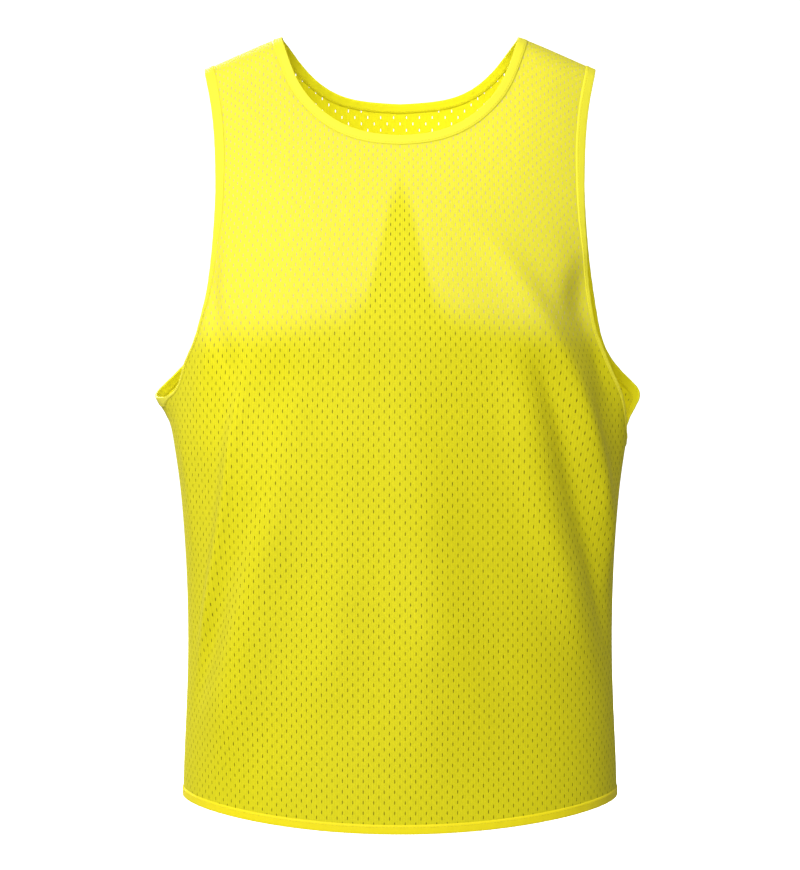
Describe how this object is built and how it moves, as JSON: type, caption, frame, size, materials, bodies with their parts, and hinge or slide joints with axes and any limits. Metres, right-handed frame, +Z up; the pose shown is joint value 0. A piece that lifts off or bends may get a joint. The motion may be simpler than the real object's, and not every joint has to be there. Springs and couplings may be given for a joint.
{
  "type": "running singlet",
  "caption": "Sleeveless mesh running singlet in its worn hollow form, with scoop neck, bound armholes and a turned hem.",
  "frame": {"origin": "where the wearer's shoulders carry the singlet: on the centre plane, in the plane of the shoulder seams, near the height of their high points", "axes": "+Z up, -Y the way the wearer faces, +X to the wearer's left"},
  "size_m": [0.4389, 0.2371, 0.6914],
  "materials": {
    "mesh_knit": "yellow polyester mesh knit with staggered small holes, soft matt sheen",
    "rib_binding": "plain yellow rib knit, unperforated, topstitched",
    "hem_knit": "turned-up mesh knit, two layers, twin-needle topstitched"
  },
  "bodies": {
    "root": {"front_panel": "mesh_knit", "back_panel": "mesh_knit", "neck_binding": "rib_binding", "armhole_binding_right": "rib_binding", "armhole_binding_left": "rib_binding", "hem_band": "hem_knit"}
  },
  "joints": []
}
